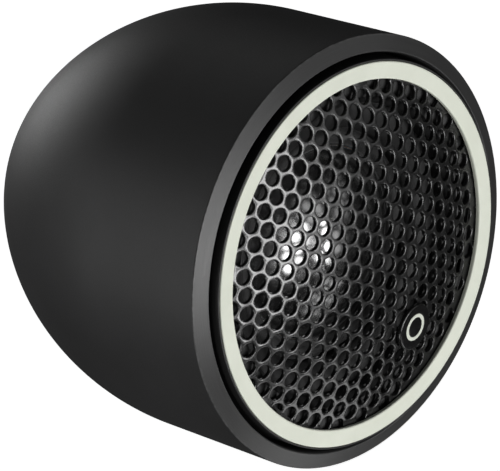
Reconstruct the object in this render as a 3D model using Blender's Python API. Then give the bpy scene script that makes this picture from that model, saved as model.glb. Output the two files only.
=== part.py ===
"""A car tweeter in a round surface-mount pod, as an assembly of its separate pieces.

The axis of the pod is Y: the grille faces -Y, the mounting face looks along +Y, and +Z is up.
The origin is the centre of the mounting face, on the back of the foam gasket.

Sizes are in millimetres, and MM turns them into metres. A depth is a distance behind the front
plane of the cream trim ring, so a negative depth stands proud of that ring. An outline is a
closed list of (radius, depth) corners, which is turned about the axis.
"""

import math

import bmesh
import bpy
from mathutils import Matrix, Vector
from mathutils.geometry import delaunay_2d_cdt

MM = 0.001

# Overall
POD_LENGTH = 40.7  # trim ring's front plane to the mounting face
SEAT_GAP = 0.05  # between two pieces that rest on each other
OUTER_SEGMENTS = 56  # sides of a piece that shows from outside
INNER_SEGMENTS = 32  # sides of a piece that is closed in
SMALL_SEGMENTS = 14

# Pod
RIM_RADIUS = 22.63  # the pod is widest at the outer edge of its sloping rim
RIM_DEPTH = 1.55
MOUTH_RADIUS = 20.9  # inner edge of the rim
MOUTH_DEPTH = 0.8
BARREL_TAPER = math.radians(1.83)
SHOULDER_DEPTH = 16.6  # the tapered barrel turns into the rounded back here
BACK_ROUNDING = 31.1  # radius of the arc that closes the back
POD_WALL = 2.0
BORE_RADIUS = 20.75
LEDGE_DEPTH = 10.7  # the tweeter module stops here
LEDGE_RADIUS = 19.2
LEDGE_THICKNESS = 1.3

# Rear fixing
GASKET_THICKNESS = 0.75
GASKET_RADIUS = 9.4
FIXING_SPACING = 10.8  # between the two screw holes, along X
FIXING_RISE = 3.0  # they are this far above the axis
FIXING_HOLE_RADIUS = 1.6
CABLE_EXIT_DROP = 5.2  # the cable hole is this far below the axis
CABLE_HOLE_RADIUS = 3.7
CABLE_BORE_RADIUS = 3.05  # lets a push-on connector through
GROMMET_FLANGE_RADIUS = 4.2

# Twist lock between the pod and the tweeter module
LOCK_ANGLES = (90, 210, 330)
LOCK_DEPTH = 7.9
LOCK_PIN_RADIUS = 0.7
LOCK_PIN_REACH = 19.3  # the pins point inwards to this radius
LOCK_CLEARANCE = 0.3
LOCK_TURN = 15  # degrees from locked to where the module pulls out

# Bezel, trim ring and grille
BEZEL_RADIUS = 20.3
SKIRT_INNER_RADIUS = 18.9
SKIRT_END_DEPTH = 9.7
RING_INNER_RADIUS = 18.25
RING_OUTER_RADIUS = 20.06
RING_THICKNESS = 0.5
GRILLE_RADIUS = 19.45
GRILLE_THICKNESS = 0.5
GRILLE_EDGE_RADIUS = 17.9  # the dome starts inside the flat edge that the ring covers
GRILLE_SEAT_GAP = 0.15  # under the trim ring, so that the edge of the dome clears it
GRILLE_RISE = 2.4
HOLE_PITCH = 2.0
HOLE_RADIUS = 0.775
HOLE_ROW_ANGLE = math.radians(36)  # one of the three close-packed directions
HOLE_AT = Vector((-13.2, 3.95))  # centre of one hole, as (X, Z)
LAST_HOLE_RADIUS = 18.4  # hole centres reach this far from the axis

# Badge on the grille
BADGE_AT = Vector((7.2, -9.2))
BADGE_RADIUS = 2.5
BADGE_THICKNESS = 0.45

# Faceplate and rear cup
PLATE_RADIUS = 18.8
PLATE_FRONT_DEPTH = 3.65
PLATE_REAR_DEPTH = 6.0
THROAT_RADIUS = 12.2
THROAT_DEPTH = 4.9
FLARE_RADIUS = 15.3
MODULE_SCREW_ANGLES = (30, 150, 270)
MODULE_SCREW_CIRCLE = 17.35
CUP_INNER_RADIUS = 14.6
CUP_OUTER_RADIUS = 15.7
CUP_FLANGE_THICKNESS = 1.2
CUP_FLOOR_DEPTH = 16.2
CUP_BACK_DEPTH = 17.6

# Diaphragm
DOME_RADIUS = 10.05
DOME_HEIGHT = 4.0
DOME_THICKNESS = 0.3
DOME_RIM_DEPTH = 5.7
FORMER_INNER_RADIUS = 9.95
FORMER_OUTER_RADIUS = 10.1
FORMER_END_DEPTH = 8.95
COIL_OUTER_RADIUS = 10.6
COIL_DEPTHS = (7.1, 8.8)
SURROUND_RADII = (10.2, 10.5, 12.0, 12.9)  # landing, roll, roll, outer edge
SURROUND_THICKNESS = 0.24
SURROUND_ROLL = 0.75

# Motor
YOKE_OUTER_RADIUS = 12.9
YOKE_INNER_RADIUS = 11.1
YOKE_RIM_DEPTH = 6.8
YOKE_FLOOR_DEPTH = 13.05
YOKE_BACK_DEPTH = 14.7
POLE_RADIUS = 9.7
POLE_DEPTHS = (7.0, 8.95)
MAGNET_RADIUS = 9.2
MAGNET_DEPTHS = (9.0, 13.0)

# Terminals
TERMINAL_X = 13.3
TERMINAL_THICKNESS = 0.5
TERMINAL_WIDTH = 2.8
TERMINAL_END_DEPTH = 24.2
BOARD_SIZE = (30.0, 6.5, 1.0)
WIRE_RADIUS = 0.2


def clear_scene():
    for obj in list(bpy.data.objects):
        bpy.data.objects.remove(obj, do_unlink=True)


def make_material(name, colour, roughness, metallic=0.0):
    material = bpy.data.materials.new(name)
    material.use_nodes = True
    shader = material.node_tree.nodes["Principled BSDF"]
    shader.inputs["Base Color"].default_value = (*colour, 1)
    shader.inputs["Roughness"].default_value = roughness
    shader.inputs["Metallic"].default_value = metallic
    material.diffuse_color = (*colour, 1)
    return material


def make_empty(name, parent=None, location=(0, 0, 0)):
    empty = bpy.data.objects.new(name, None)
    empty.empty_display_size = 10 * MM
    empty.location = location
    empty.parent = parent
    bpy.context.scene.collection.objects.link(empty)
    return empty


def add_object(name, data, material, parent):
    obj = bpy.data.objects.new(name, data)
    obj.parent = parent
    if material:
        data.materials.append(material)
    bpy.context.scene.collection.objects.link(obj)
    return obj


def add_mesh(name, bm, material, parent, sharp_angle=35):
    """Closes the bmesh into an object, with its faces outwards and round surfaces smooth."""
    bmesh.ops.recalc_face_normals(bm, faces=bm.faces[:])
    mesh = bpy.data.meshes.new(name)
    bm.to_mesh(mesh)
    bm.free()
    mesh.shade_smooth()
    mesh.set_sharp_from_angle(angle=math.radians(sharp_angle))
    return add_object(name, mesh, material, parent)


def add_lathe(name, outline, material, parent, segments=INNER_SEGMENTS):
    """Turns a closed outline of (radius, depth) corners about Y."""
    bm = bmesh.new()
    turns = [2 * math.pi * i / segments for i in range(segments)]
    rings = []
    for radius, depth in outline:
        if radius == 0:
            rings.append([bm.verts.new((0, depth * MM, 0))] * segments)
            continue
        rings.append([
            bm.verts.new((radius * MM * math.cos(t), depth * MM, radius * MM * math.sin(t)))
            for t in turns
        ])
    for ring, following in zip(rings, rings[1:] + rings[:1]):
        for i in range(segments):
            j = (i + 1) % segments
            corners = dict.fromkeys((ring[i], ring[j], following[j], following[i]))
            if len(corners) > 2:
                bm.faces.new(list(corners))
    return add_mesh(name, bm, material, parent)


def add_disc(name, radius, depths, material, parent, segments=INNER_SEGMENTS):
    front, rear = depths
    outline = [(0, front), (radius, front), (radius, rear), (0, rear)]
    return add_lathe(name, outline, material, parent, segments)


def add_ring(name, radii, depths, material, parent, segments=INNER_SEGMENTS):
    (inner, outer), (front, rear) = radii, depths
    outline = [(inner, front), (outer, front), (outer, rear), (inner, rear)]
    return add_lathe(name, outline, material, parent, segments)


def add_prism(name, outline, low, high, place, material, parent):
    """Extrudes a flat outline from low to high. place(u, v, w) gives each corner's point."""
    bm = bmesh.new()
    ends = [[bm.verts.new(place(u, v, w)) for u, v in outline] for w in (low, high)]
    bm.faces.new(ends[0])
    bm.faces.new(ends[1])
    for i in range(len(outline)):
        j = (i + 1) % len(outline)
        bm.faces.new((ends[0][i], ends[0][j], ends[1][j], ends[1][i]))
    return add_mesh(name, bm, material, parent)


def add_rod(name, centre, direction, length, radius, material, parent):
    """A round bar. centre is its middle, in millimetres, as (X, depth, Z).

    Its sides are turned a little, so that none lines up with the sides of what it cuts.
    """
    bm = bmesh.new()
    bmesh.ops.create_cone(
        bm,
        cap_ends=True,
        segments=SMALL_SEGMENTS,
        radius1=radius * MM,
        radius2=radius * MM,
        depth=length * MM,
        matrix=Matrix.Rotation(math.radians(7), 4, "Z"),
    )
    obj = add_mesh(name, bm, material, parent)
    obj.location = Vector(centre) * MM
    obj.rotation_euler = Vector(direction).to_track_quat("Z", "Y").to_euler()
    return obj


def combine(target, tool, operation="DIFFERENCE"):
    """Cuts the tool from the target, or joins it on, and hides the tool."""
    modifier = target.modifiers.new(tool.name, "BOOLEAN")
    modifier.operation = operation
    modifier.solver = "EXACT"
    modifier.object = tool
    tool.hide_render = True
    tool.display_type = "WIRE"


def drill(target, x, z, depths, radius):
    """A round hole along Y through the target, between two depths."""
    front, rear = depths
    name = f"{target.name}_hole_{len(target.modifiers)}"
    middle = (x, (front + rear) / 2, z)
    tool = add_rod(name, middle, (0, 1, 0), rear - front, radius, None, target.parent)
    combine(target, tool)


def soften(outline, size, corners):
    """Rounds the numbered corners of an outline with a short three-point fillet."""
    softened = []
    for i, corner in enumerate(outline):
        if i not in corners:
            softened.append(corner)
            continue
        here = Vector(corner)
        before = here + (Vector(outline[i - 1]) - here).normalized() * size
        after = here + (Vector(outline[(i + 1) % len(outline)]) - here).normalized() * size
        middle = (before + after) / 4 + here / 2
        softened += [tuple(before), tuple(middle), tuple(after)]
    return softened


def on_circle(radius, degrees):
    """(X, Z) on a circle about the axis, from +X towards +Z."""
    turn = math.radians(degrees)
    return radius * math.cos(turn), radius * math.sin(turn)


def barrel_radius(depth):
    return RIM_RADIUS - math.tan(BARREL_TAPER) * (depth - RIM_DEPTH)


def back_arc(inset, first_depth, last_depth, steps):
    """The pod's rounded back, moved inwards by inset, tangent to the barrel at the shoulder."""
    rounding = BACK_ROUNDING
    centre_radius = barrel_radius(SHOULDER_DEPTH) - rounding * math.cos(BARREL_TAPER)
    centre_depth = SHOULDER_DEPTH - rounding * math.sin(BARREL_TAPER)
    first = math.asin((first_depth - centre_depth) / (rounding - inset))
    last = math.asin((last_depth - centre_depth) / (rounding - inset))
    arc = []
    for i in range(steps + 1):
        turn = first + (last - first) * i / steps
        radius = centre_radius + (rounding - inset) * math.cos(turn)
        arc.append((radius, centre_depth + (rounding - inset) * math.sin(turn)))
    return arc


def make_pod(materials, pod):
    """The one-piece shell: sloping rim, tapered barrel, round back, bore, ledge and lock pins."""
    back = POD_LENGTH - GASKET_THICKNESS - SEAT_GAP
    floor = back - POD_WALL
    chamber_depth = LEDGE_DEPTH + LEDGE_THICKNESS
    rim = [(BORE_RADIUS, MOUTH_DEPTH + 0.4), (MOUTH_RADIUS, MOUTH_DEPTH), (RIM_RADIUS, RIM_DEPTH)]
    inside = [
        (BORE_RADIUS, LEDGE_DEPTH),
        (LEDGE_RADIUS, LEDGE_DEPTH),
        (LEDGE_RADIUS, chamber_depth),
    ]
    outline = soften(rim + [(barrel_radius(SHOULDER_DEPTH), SHOULDER_DEPTH)], 0.15, (1, 2))[:-1]
    outline += back_arc(0, SHOULDER_DEPTH, back, 9) + [(0, back), (0, floor)]
    outline += reversed(back_arc(POD_WALL, chamber_depth + 3, floor, 5))
    outline.append((back_arc(POD_WALL, chamber_depth + 3, floor, 1)[0][0], chamber_depth + 0.8))
    outline += reversed(inside)
    shell = add_lathe("pod_shell", outline, materials["pod"], pod, OUTER_SEGMENTS)

    for side in (-1, 1):
        x = side * FIXING_SPACING / 2
        drill(shell, x, FIXING_RISE, (floor - 1, back + 1), FIXING_HOLE_RADIUS)
    drill(shell, 0, -CABLE_EXIT_DROP, (floor - 1, back + 1), CABLE_HOLE_RADIUS)
    pin_length = BORE_RADIUS + 0.6 - LOCK_PIN_REACH
    for angle in LOCK_ANGLES:
        x, z = on_circle(LOCK_PIN_REACH + pin_length / 2, angle)
        middle = (x, LOCK_DEPTH, z)
        name = f"lock_pin_{angle}"
        pin = add_rod(name, middle, (x, 0, z), pin_length, LOCK_PIN_RADIUS, None, pod)
        combine(shell, pin, "UNION")


def gasket_outline(radius, notch):
    """A disc with a notch, rounded at its top, from the cable hole down to the disc's edge."""
    drop = math.sqrt(radius**2 - notch**2)
    edge = math.degrees(math.atan2(drop, notch))
    outer = [on_circle(radius, -edge + (180 + 2 * edge) * i / 48) for i in range(49)]
    arch = [on_circle(notch, 180 - 180 * i / 16) for i in range(17)]
    return outer + [(x, z - CABLE_EXIT_DROP) for x, z in arch]


def make_rear_fixing(materials, pod):
    """Foam gasket, open below the cable hole, and the rubber grommet that lines that hole."""
    back = POD_LENGTH - GASKET_THICKNESS - SEAT_GAP
    floor = back - POD_WALL

    def on_back(u, v, w):
        return u * MM, w * MM, v * MM

    outline = gasket_outline(GASKET_RADIUS, GROMMET_FLANGE_RADIUS + 0.15)
    gasket = add_prism(
        "rear_gasket", outline, back + SEAT_GAP, POD_LENGTH, on_back, materials["foam"], pod
    )
    for side in (-1, 1):
        x = side * FIXING_SPACING / 2
        drill(gasket, x, FIXING_RISE, (back - 1, POD_LENGTH + 1), FIXING_HOLE_RADIUS + 0.2)

    neck = CABLE_HOLE_RADIUS - 3 * SEAT_GAP
    outline = [
        (CABLE_BORE_RADIUS, floor - 0.9),
        (GROMMET_FLANGE_RADIUS, floor - 0.9),
        (GROMMET_FLANGE_RADIUS, floor - SEAT_GAP),
        (neck, floor - SEAT_GAP),
        (neck, back + SEAT_GAP),
        (GROMMET_FLANGE_RADIUS, back + SEAT_GAP),
        (GROMMET_FLANGE_RADIUS, POD_LENGTH - 0.1),
        (CABLE_BORE_RADIUS, POD_LENGTH - 0.1),
    ]
    grommet = add_lathe("wire_grommet", outline, materials["rubber"], pod, SMALL_SEGMENTS)
    grommet.location = (0, 0, -CABLE_EXIT_DROP * MM)


def make_module_seal(materials, pod):
    depths = (SKIRT_END_DEPTH + SEAT_GAP, LEDGE_DEPTH - SEAT_GAP)
    radii = (LEDGE_RADIUS + 0.15, BEZEL_RADIUS - 0.1)
    add_ring("module_seal", radii, depths, materials["rubber"], pod)


def make_bezel(materials, module):
    """The module's front ring: seats for the trim ring and grille, and a skirt with J-slots."""
    ring_seat = RING_THICKNESS + SEAT_GAP
    grille_seat = RING_THICKNESS + GRILLE_SEAT_GAP + GRILLE_THICKNESS + SEAT_GAP
    flange_rear = PLATE_FRONT_DEPTH - SEAT_GAP
    outline = [
        (RING_OUTER_RADIUS + SEAT_GAP, 0.12),
        (BEZEL_RADIUS, 0.16),
        (BEZEL_RADIUS, SKIRT_END_DEPTH),
        (SKIRT_INNER_RADIUS, SKIRT_END_DEPTH),
        (SKIRT_INNER_RADIUS, flange_rear),
        (FLARE_RADIUS + 0.1, flange_rear),
        (FLARE_RADIUS + 0.1, grille_seat + 0.8),
        (FLARE_RADIUS + 0.9, grille_seat),
        (GRILLE_RADIUS + SEAT_GAP, grille_seat),
        (GRILLE_RADIUS + SEAT_GAP, ring_seat),
        (RING_OUTER_RADIUS + SEAT_GAP, ring_seat),
    ]
    bezel = add_lathe("front_bezel", outline, materials["bezel"], module, OUTER_SEGMENTS)

    slot = LOCK_PIN_RADIUS + LOCK_CLEARANCE
    slot_angle = math.degrees(slot / LOCK_PIN_REACH)
    front, rear = LOCK_DEPTH - slot, LOCK_DEPTH + slot
    for angle in LOCK_ANGLES:
        low = angle - LOCK_TURN - slot_angle
        entry = angle - LOCK_TURN + slot_angle
        high = angle + slot_angle
        j_slot = [
            (low, front),
            (high, front),
            (high, rear),
            (entry, rear),
            (entry, SKIRT_END_DEPTH + 1),
            (low, SKIRT_END_DEPTH + 1),
        ]

        def wrap(degrees, depth, radius):
            x, z = on_circle(radius, degrees)
            return x * MM, depth * MM, z * MM

        limits = (SKIRT_INNER_RADIUS - 0.5, BEZEL_RADIUS + 0.5)
        tool = add_prism(f"j_slot_{angle}", j_slot, *limits, wrap, None, module)
        combine(bezel, tool)
    for angle in MODULE_SCREW_ANGLES:
        x, z = on_circle(MODULE_SCREW_CIRCLE, angle)
        drill(bezel, x, z, (flange_rear - 1.8, flange_rear + 1), 0.85)


def make_trim_ring(materials, module):
    corners = [
        (RING_INNER_RADIUS, 0),
        (RING_OUTER_RADIUS, 0),
        (RING_OUTER_RADIUS, RING_THICKNESS),
        (RING_INNER_RADIUS, RING_THICKNESS),
    ]
    outline = soften(corners, 0.15, (0, 1))
    add_lathe("trim_ring", outline, materials["cream"], module, OUTER_SEGMENTS)


def grille_depth(radius):
    """Depth of the grille's front face: a shallow dome, with a flat edge under the trim ring."""
    edge = RING_THICKNESS + GRILLE_SEAT_GAP
    share = min(radius / GRILLE_EDGE_RADIUS, 1)
    return edge - GRILLE_RISE * (1 - share * share)


def hole_centres():
    """Holes in rows 60 degrees apart, as (X, Z), out to the last circle of centres."""
    across = Vector((math.cos(HOLE_ROW_ANGLE), math.sin(HOLE_ROW_ANGLE))) * HOLE_PITCH
    turned = HOLE_ROW_ANGLE + math.radians(60)
    along = Vector((math.cos(turned), math.sin(turned))) * HOLE_PITCH
    reach = range(-22, 23)
    centres = (HOLE_AT + across * i + along * j for i in reach for j in reach)
    return [centre for centre in centres if centre.length < LAST_HOLE_RADIUS]


def polygon(centre, radius, sides, start=0.0):
    turns = [start + 2 * math.pi * i / sides for i in range(sides)]
    return [centre + Vector((math.cos(t), math.sin(t))) * radius for t in turns]


def make_grille(materials, module):
    """Perforated sheet steel, pressed into a shallow dome. Each hole is cut with six corners."""
    centres = hole_centres()
    loops = [polygon(Vector((0, 0)), GRILLE_RADIUS, OUTER_SEGMENTS)]
    corner_radius = HOLE_RADIUS * 1.1  # a hexagon of the same area as the round hole
    first_corner = HOLE_ROW_ANGLE + math.radians(30)
    loops += [polygon(centre, corner_radius, 6, first_corner) for centre in centres]
    points, edges = [], []
    for loop in loops:
        first = len(points)
        count = len(loop)
        points += loop
        edges += [(first + i, first + (i + 1) % count) for i in range(count)]
    flat_points, _, triangles, *_ = delaunay_2d_cdt(points, edges, [], 0, 1e-6)

    bm = bmesh.new()
    verts = [bm.verts.new((p.x * MM, grille_depth(p.length) * MM, p.y * MM)) for p in flat_points]
    for triangle in triangles:
        middle = sum((flat_points[i] for i in triangle), Vector((0, 0))) / 3
        if min((middle - centre).length for centre in centres) > corner_radius * 0.8:
            bm.faces.new([verts[i] for i in triangle])
    sheet = bmesh.ops.extrude_face_region(bm, geom=bm.faces[:])
    moved = [item for item in sheet["geom"] if isinstance(item, bmesh.types.BMVert)]
    bmesh.ops.translate(bm, verts=moved, vec=(0, GRILLE_THICKNESS * MM, 0))
    loose = [v for v in bm.verts if not v.link_faces]
    bmesh.ops.delete(bm, geom=loose, context="VERTS")
    add_mesh("grille", bm, materials["grille"], module)


def make_badge(materials, module):
    """A round disc lying on the slope of the grille, with a plain ring let into its face."""
    distance = BADGE_AT.length
    slope = math.atan(2 * GRILLE_RISE * distance / GRILLE_EDGE_RADIUS**2)
    lift = 0.12
    seat = make_empty("badge_seat", module)
    seat.location = Vector((BADGE_AT.x, grille_depth(distance) - lift, BADGE_AT.y)) * MM
    outward = Vector((BADGE_AT.x, 0, BADGE_AT.y)).normalized()
    normal = outward * math.sin(slope) - Vector((0, math.cos(slope), 0))
    seat.rotation_euler = (-normal).to_track_quat("Y", "Z").to_euler()

    face = -BADGE_THICKNESS
    groove = (1.05, 1.5)
    outline = [
        (0, 0),
        (BADGE_RADIUS, 0),
        (BADGE_RADIUS, face),
        (groove[1], face),
        (groove[1], face + 0.2),
        (groove[0], face + 0.2),
        (groove[0], face),
        (0, face),
    ]
    outline = soften(outline, 0.1, (2,))
    add_lathe("badge_disc", outline, materials["badge"], seat, SMALL_SEGMENTS * 2)
    radii = (groove[0] + 0.03, groove[1] - 0.03)
    depths = (face - 0.02, face + 0.2 - SEAT_GAP)
    add_ring("badge_ring", radii, depths, materials["cream"], seat, SMALL_SEGMENTS * 2)


def make_faceplate(materials, module):
    """The plate that carries the diaphragm: flared throat in front, spigot round the yoke."""
    flare = [
        (
            FLARE_RADIUS - (FLARE_RADIUS - THROAT_RADIUS) * math.sin(math.pi / 2 * i / 4),
            THROAT_DEPTH - (THROAT_DEPTH - PLATE_FRONT_DEPTH) * math.cos(math.pi / 2 * i / 4),
        )
        for i in range(5)
    ]
    bore = YOKE_OUTER_RADIUS + 0.1
    lip_rear = DOME_RIM_DEPTH - SEAT_GAP
    outline = flare + [
        (THROAT_RADIUS, lip_rear),
        (bore, lip_rear),
        (bore, PLATE_REAR_DEPTH + 3),
        (bore + 1.2, PLATE_REAR_DEPTH + 3),
        (bore + 1.2, PLATE_REAR_DEPTH),
        (PLATE_RADIUS, PLATE_REAR_DEPTH),
        (PLATE_RADIUS, PLATE_FRONT_DEPTH),
    ]
    plate = add_lathe("faceplate", outline, materials["plate"], module)
    for angle in MODULE_SCREW_ANGLES:
        x, z = on_circle(MODULE_SCREW_CIRCLE, angle)
        drill(plate, x, z, (PLATE_FRONT_DEPTH - 1, PLATE_REAR_DEPTH + 1), 0.95)
    for side in (-1, 1):
        corners = [(12.4, 6.3), (15.2, 6.3), (15.2, 10), (12.4, 10)]
        add_notch(plate, side, corners, 0.6)


def add_notch(target, side, corners, half_width):
    """Cuts a slot for a lead wire, given its corners as (distance from the axis, depth)."""

    def place(distance, depth, z):
        return side * distance * MM, depth * MM, z * MM

    name = f"{target.name}_notch_{side}"
    tool = add_prism(name, corners, -half_width, half_width, place, None, target.parent)
    combine(target, tool)


def make_diaphragm(materials, module, diaphragm):
    """Dome, voice coil and former move together. The surround flexes, and its ring stays put."""
    ball = (DOME_RADIUS**2 + DOME_HEIGHT**2) / (2 * DOME_HEIGHT)
    centre = DOME_RIM_DEPTH - DOME_HEIGHT + ball

    def cap(radius, steps):
        edge = math.acos((centre - DOME_RIM_DEPTH) / radius)
        turns = [edge * i / steps for i in range(steps + 1)]
        return [(radius * math.sin(t), centre - radius * math.cos(t)) for t in turns]

    outline = cap(ball, 6) + list(reversed(cap(ball - DOME_THICKNESS, 4)))
    add_lathe("dome", outline, materials["dome"], diaphragm)

    radii = (FORMER_INNER_RADIUS, FORMER_OUTER_RADIUS)
    depths = (DOME_RIM_DEPTH + SEAT_GAP, FORMER_END_DEPTH)
    add_ring("voice_coil_former", radii, depths, materials["foil"], diaphragm)
    radii = (FORMER_OUTER_RADIUS + SEAT_GAP, COIL_OUTER_RADIUS)
    add_ring("voice_coil", radii, COIL_DEPTHS, materials["copper"], diaphragm)

    inner, start, end, outer = SURROUND_RADII
    half = SURROUND_THICKNESS / 2
    middle = DOME_RIM_DEPTH + SEAT_GAP + half

    def roll(offset):
        steps = 4
        arc = [math.pi * i / steps for i in range(steps + 1)]
        reach, rise = (end - start) / 2 + offset, SURROUND_ROLL + offset
        waist = (start + end) / 2
        return [(waist - reach * math.cos(t), middle - offset - rise * math.sin(t)) for t in arc]

    front = [(inner, middle - half)] + roll(half) + [(outer, middle - half)]
    rear = [(inner, middle + half)] + roll(-half) + [(outer, middle + half)]
    outline = front + list(reversed(rear))
    add_lathe("surround", outline, materials["surround"], module)

    radii = (YOKE_INNER_RADIUS + 0.2, YOKE_OUTER_RADIUS)
    ring_front = middle + half + SEAT_GAP
    depths = (ring_front, YOKE_RIM_DEPTH - SEAT_GAP)
    ring = add_ring("diaphragm_ring", radii, depths, materials["plate"], module)
    for side in (-1, 1):
        corners = [(11, 6.1), (13.2, 6.1), (13.2, 7), (11, 7)]
        add_notch(ring, side, corners, 0.5)


def make_motor(materials, module):
    """Steel cup yoke, neodymium disc and pole plate, with felt in front and a pad behind."""
    outline = [
        (0, YOKE_FLOOR_DEPTH),
        (YOKE_INNER_RADIUS, YOKE_FLOOR_DEPTH),
        (YOKE_INNER_RADIUS, YOKE_RIM_DEPTH),
        (YOKE_OUTER_RADIUS, YOKE_RIM_DEPTH),
        (YOKE_OUTER_RADIUS, YOKE_BACK_DEPTH),
        (0, YOKE_BACK_DEPTH),
    ]
    add_lathe("yoke_cup", outline, materials["steel"], module)
    add_disc("magnet", MAGNET_RADIUS, MAGNET_DEPTHS, materials["nickel"], module)
    add_disc("pole_plate", POLE_RADIUS, POLE_DEPTHS, materials["steel"], module)
    felt = (POLE_DEPTHS[0] - SEAT_GAP - 0.8, POLE_DEPTHS[0] - SEAT_GAP)
    add_disc("damping_felt", 8.5, felt, materials["felt"], module)
    pad = (YOKE_BACK_DEPTH + SEAT_GAP, CUP_FLOOR_DEPTH - SEAT_GAP)
    add_disc("motor_pad", 8.0, pad, materials["foam"], module)


def make_rear_cup(materials, module):
    front = PLATE_REAR_DEPTH + SEAT_GAP
    flange_rear = front + CUP_FLANGE_THICKNESS
    outline = [
        (CUP_INNER_RADIUS, front),
        (PLATE_RADIUS, front),
        (PLATE_RADIUS, flange_rear),
        (CUP_OUTER_RADIUS, flange_rear),
        (CUP_OUTER_RADIUS, CUP_BACK_DEPTH),
        (0, CUP_BACK_DEPTH),
        (0, CUP_FLOOR_DEPTH),
        (CUP_INNER_RADIUS, CUP_FLOOR_DEPTH),
    ]
    cup = add_lathe("rear_cup", outline, materials["plate"], module)
    for angle in MODULE_SCREW_ANGLES:
        x, z = on_circle(MODULE_SCREW_CIRCLE, angle)
        drill(cup, x, z, (front - 1, flange_rear + 1), 0.95)
    cut_terminal_slots(cup, (CUP_FLOOR_DEPTH - 1, CUP_BACK_DEPTH + 1))


def cut_terminal_slots(target, depths):
    half_thickness = TERMINAL_THICKNESS / 2 + 0.15
    near, far = TERMINAL_X - half_thickness, TERMINAL_X + half_thickness
    front, rear = depths
    corners = [(near, front), (far, front), (far, rear), (near, rear)]
    for side in (-1, 1):
        add_notch(target, side, corners, TERMINAL_WIDTH / 2 + 0.15)


def make_module_screws(materials, module):
    """Pan-head screws that hold the rear cup and faceplate to the bezel."""
    head_front = PLATE_REAR_DEPTH + CUP_FLANGE_THICKNESS + 2 * SEAT_GAP
    tip = PLATE_FRONT_DEPTH - 1.5
    outline = [
        (0, tip),
        (0.35, tip),
        (0.75, tip + 0.6),
        (0.75, head_front),
        (1.35, head_front),
        (1.35, head_front + 0.6),
        (0.9, head_front + 1),
        (0.45, head_front + 1.05),
        (0.3, head_front + 0.5),
        (0, head_front + 0.5),
    ]
    for number, angle in enumerate(MODULE_SCREW_ANGLES, 1):
        name = f"module_screw_{number}"
        screw = add_lathe(name, outline, materials["zinc"], module, 12)
        x, z = on_circle(MODULE_SCREW_CIRCLE, angle)
        screw.location = (x * MM, 0, z * MM)


def make_terminals(materials, module):
    """A fibre board on the back of the cup, with a bent brass tab at each end."""
    width, height, thickness = BOARD_SIZE
    half_width, half_height, corner = width / 2, height / 2, 1.0
    inset = half_width - corner
    outline = [
        (-half_width, -half_height + corner),
        (-inset, -half_height),
        (inset, -half_height),
        (half_width, -half_height + corner),
        (half_width, half_height - corner),
        (inset, half_height),
        (-inset, half_height),
        (-half_width, half_height - corner),
    ]
    front = CUP_BACK_DEPTH + SEAT_GAP
    rear = front + thickness

    def on_board(x, z, depth):
        return x * MM, depth * MM, z * MM

    board = add_prism("terminal_board", outline, front, rear, on_board, materials["fibre"], module)
    cut_terminal_slots(board, (front - 1, rear + 1))

    inner = TERMINAL_X - TERMINAL_THICKNESS / 2
    outer = TERMINAL_X + TERMINAL_THICKNESS / 2
    foot_front = rear + SEAT_GAP
    foot_rear = foot_front + TERMINAL_THICKNESS
    tab = [
        (inner, YOKE_FLOOR_DEPTH + 0.5),
        (outer, YOKE_FLOOR_DEPTH + 0.5),
        (outer, TERMINAL_END_DEPTH),
        (inner, TERMINAL_END_DEPTH),
        (inner, foot_rear),
        (inner - 3, foot_rear),
        (inner - 3, foot_front),
        (inner, foot_front),
    ]
    for name, side in (("terminal_positive", 1), ("terminal_negative", -1)):

        def mirrored(x, depth, z, side=side):
            return side * x * MM, depth * MM, z * MM

        half = TERMINAL_WIDTH / 2
        terminal = add_prism(name, tab, -half, half, mirrored, materials["brass"], module)
        eye = (side * TERMINAL_X, TERMINAL_END_DEPTH - 1.6, 0)
        tool = add_rod(f"{name}_eye", eye, (1, 0, 0), 3, 0.6, None, module)
        combine(terminal, tool)


def smooth_route(corners, steps):
    """Points along a smooth curve through the corners (Catmull-Rom)."""
    corners = [Vector(c) for c in corners]
    ends = [2 * corners[0] - corners[1]] + corners + [2 * corners[-1] - corners[-2]]
    route = []
    for a, b, c, d in zip(ends, ends[1:], ends[2:], ends[3:]):
        for i in range(steps):
            t = i / steps
            point = (
                2 * b
                + (c - a) * t
                + (2 * a - 5 * b + 4 * c - d) * t**2
                + (3 * b - a - 3 * c + d) * t**3
            )
            route.append(point / 2)
    return route + [corners[-1]]


def make_lead_wires(materials, module):
    """The coil's two lead-outs: over the yoke, through the notches, back to the terminals."""
    for name, side in (("lead_wire_positive", 1), ("lead_wire_negative", -1)):
        route = smooth_route(
            [
                (side * 10.7, 6.45, 0),
                (side * 12.2, 6.4, 0),
                (side * 13.5, 6.7, 0),
                (side * 13.95, 7.7, 0),
                (side * 13.85, 9.4, 0),
                (side * 13.4, 11.2, 0),
                (side * TERMINAL_X, YOKE_FLOOR_DEPTH + 0.3, 0),
            ],
            2,
        )
        curve = bpy.data.curves.new(name, "CURVE")
        curve.dimensions = "3D"
        curve.bevel_depth = WIRE_RADIUS * MM
        curve.bevel_resolution = 1
        curve.use_fill_caps = True
        spline = curve.splines.new("POLY")
        spline.points.add(len(route) - 1)
        for spot, point in zip(spline.points, route):
            spot.co = (*(point * MM), 1)
        add_object(name, curve, materials["copper"], module)


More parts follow.
